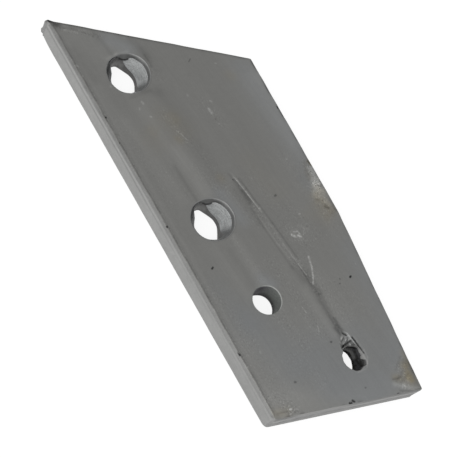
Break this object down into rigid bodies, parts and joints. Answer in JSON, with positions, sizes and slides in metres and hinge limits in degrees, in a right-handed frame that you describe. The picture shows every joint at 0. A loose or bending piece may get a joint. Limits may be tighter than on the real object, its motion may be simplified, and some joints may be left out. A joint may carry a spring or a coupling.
{
  "type": "ploughshare point",
  "caption": "Flat steel ploughshare point with slanted ends, countersunk bolt holes, a plain hole and a hole torn out of round by wear.",
  "frame": {"origin": "where the axis of the first countersunk bolt hole meets the flat back face", "axes": "+Y up the bar towards its acute top corner, +X across it from the long left edge to the right edge, +Z out of the worn front face"},
  "size_m": [0.08, 0.2173, 0.012],
  "materials": {
    "worn_steel": "satin, scuffed by soil"
  },
  "bodies": {
    "root": {"share_plate": "worn_steel"}
  },
  "joints": []
}
